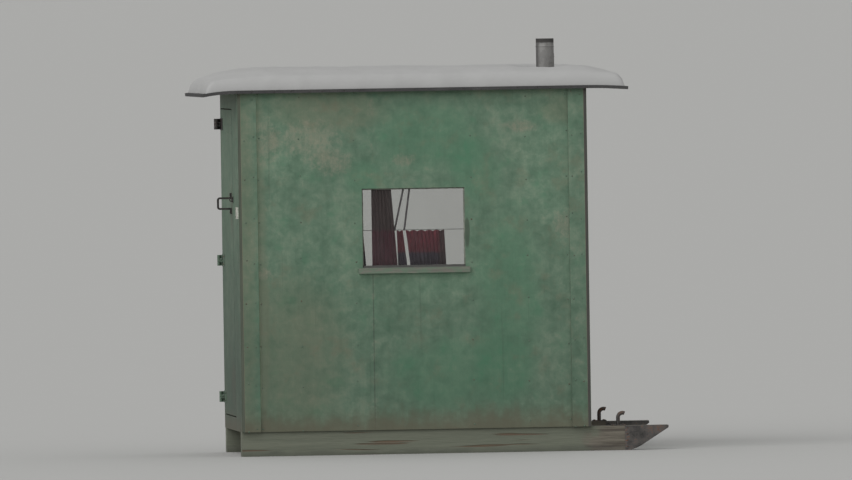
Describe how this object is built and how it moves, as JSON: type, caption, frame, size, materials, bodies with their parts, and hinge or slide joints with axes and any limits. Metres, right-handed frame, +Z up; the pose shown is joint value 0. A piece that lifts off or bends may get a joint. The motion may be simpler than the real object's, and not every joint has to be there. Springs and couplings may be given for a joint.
{
  "type": "ice fishing hut",
  "caption": "Small plywood hut on two runners, with a door in one end, a curtained window, snow on its flat roof and a stove pipe",
  "frame": {"origin": "centre of the overall box, on the ice under the runners", "axes": "+Z up; the windowed front wall faces -Y; the door is in the -X end; the runners' noses point to +X"},
  "size_m": [2.645, 1.299, 2.356],
  "materials": {
    "green_plywood": "weathered green paint on plywood, worn through in places",
    "framing_timber": "sawn softwood, bare",
    "runner_timber": "weathered timber, paint mostly gone",
    "floor_plywood": "bare plywood",
    "nose_steel": "blackened sheet steel",
    "hook_steel": "dull black rod with some rust",
    "roofing_felt": "dark mineral felt",
    "flue_steel": "dull galvanised sheet steel, sooted at the rim",
    "window_clear": "clear pane, a little dirty",
    "curtain_cloth": "dark red-brown cloth with a blue-grey hem",
    "rail_metal": "dull wire and rod",
    "door_ironwork": "black iron, partly painted over",
    "pale_plate": "plain pale paint",
    "roof_snow": "settled snow"
  },
  "bodies": {
    "hut": {"front_sheet_left": "green_plywood", "front_sheet_right": "green_plywood", "back_sheet_left": "green_plywood", "back_sheet_right": "green_plywood", "left_sheet_beside_door": "green_plywood", "left_sheet_over_door": "green_plywood", "left_sheet_under_door": "green_plywood", "left_hinge_strip": "green_plywood", "right_sheet": "green_plywood", "corner_boards": "green_plywood", "window_sills": "green_plywood", "floor_joists": "framing_timber", "floor_rims": "framing_timber", "front_wall_plates": "framing_timber", "front_wall_studs": "framing_timber", "front_window_framing": "framing_timber", "back_wall_plates": "framing_timber", "back_wall_studs": "framing_timber", "back_window_framing": "framing_timber", "left_wall_plates": "framing_timber", "left_wall_studs": "framing_timber", "right_wall_plates": "framing_timber", "right_wall_studs": "framing_timber", "roof_joists": "framing_timber", "window_stops": "framing_timber", "front_runner": "runner_timber", "back_runner": "runner_timber", "floor_deck_ends": "floor_plywood", "floor_deck_middle": "floor_plywood", "roof_deck": "floor_plywood", "nose_shoes": "nose_steel", "tow_hooks": "hook_steel", "roof_felt": "roofing_felt", "flue_pipe": "flue_steel", "flue_flashing": "flue_steel", "front_window_pane": "window_clear", "back_window_pane": "window_clear", "tall_curtain": "curtain_cloth", "short_curtain_left": "curtain_cloth", "short_curtain_middle": "curtain_cloth", "short_curtain_right": "curtain_cloth", "curtain_rod": "rail_metal", "curtain_wire": "rail_metal", "jamb_hinge_leaves": "door_ironwork", "jamb_staple": "door_ironwork", "number_plate": "pale_plate", "roof_snow": "roof_snow"},
    "door": {"door_panel": "green_plywood", "door_battens": "framing_timber", "door_hinge_leaves": "door_ironwork", "door_handle": "door_ironwork", "door_hasp": "door_ironwork"}
  },
  "joints": [
    {"name": "door_hinge", "type": "hinge", "parent": "hut", "child": "door", "pos_m": [-1.1465, 0.574, 1.105], "axis": [0, 0, -1], "range_deg": [0, 160]}
  ]
}
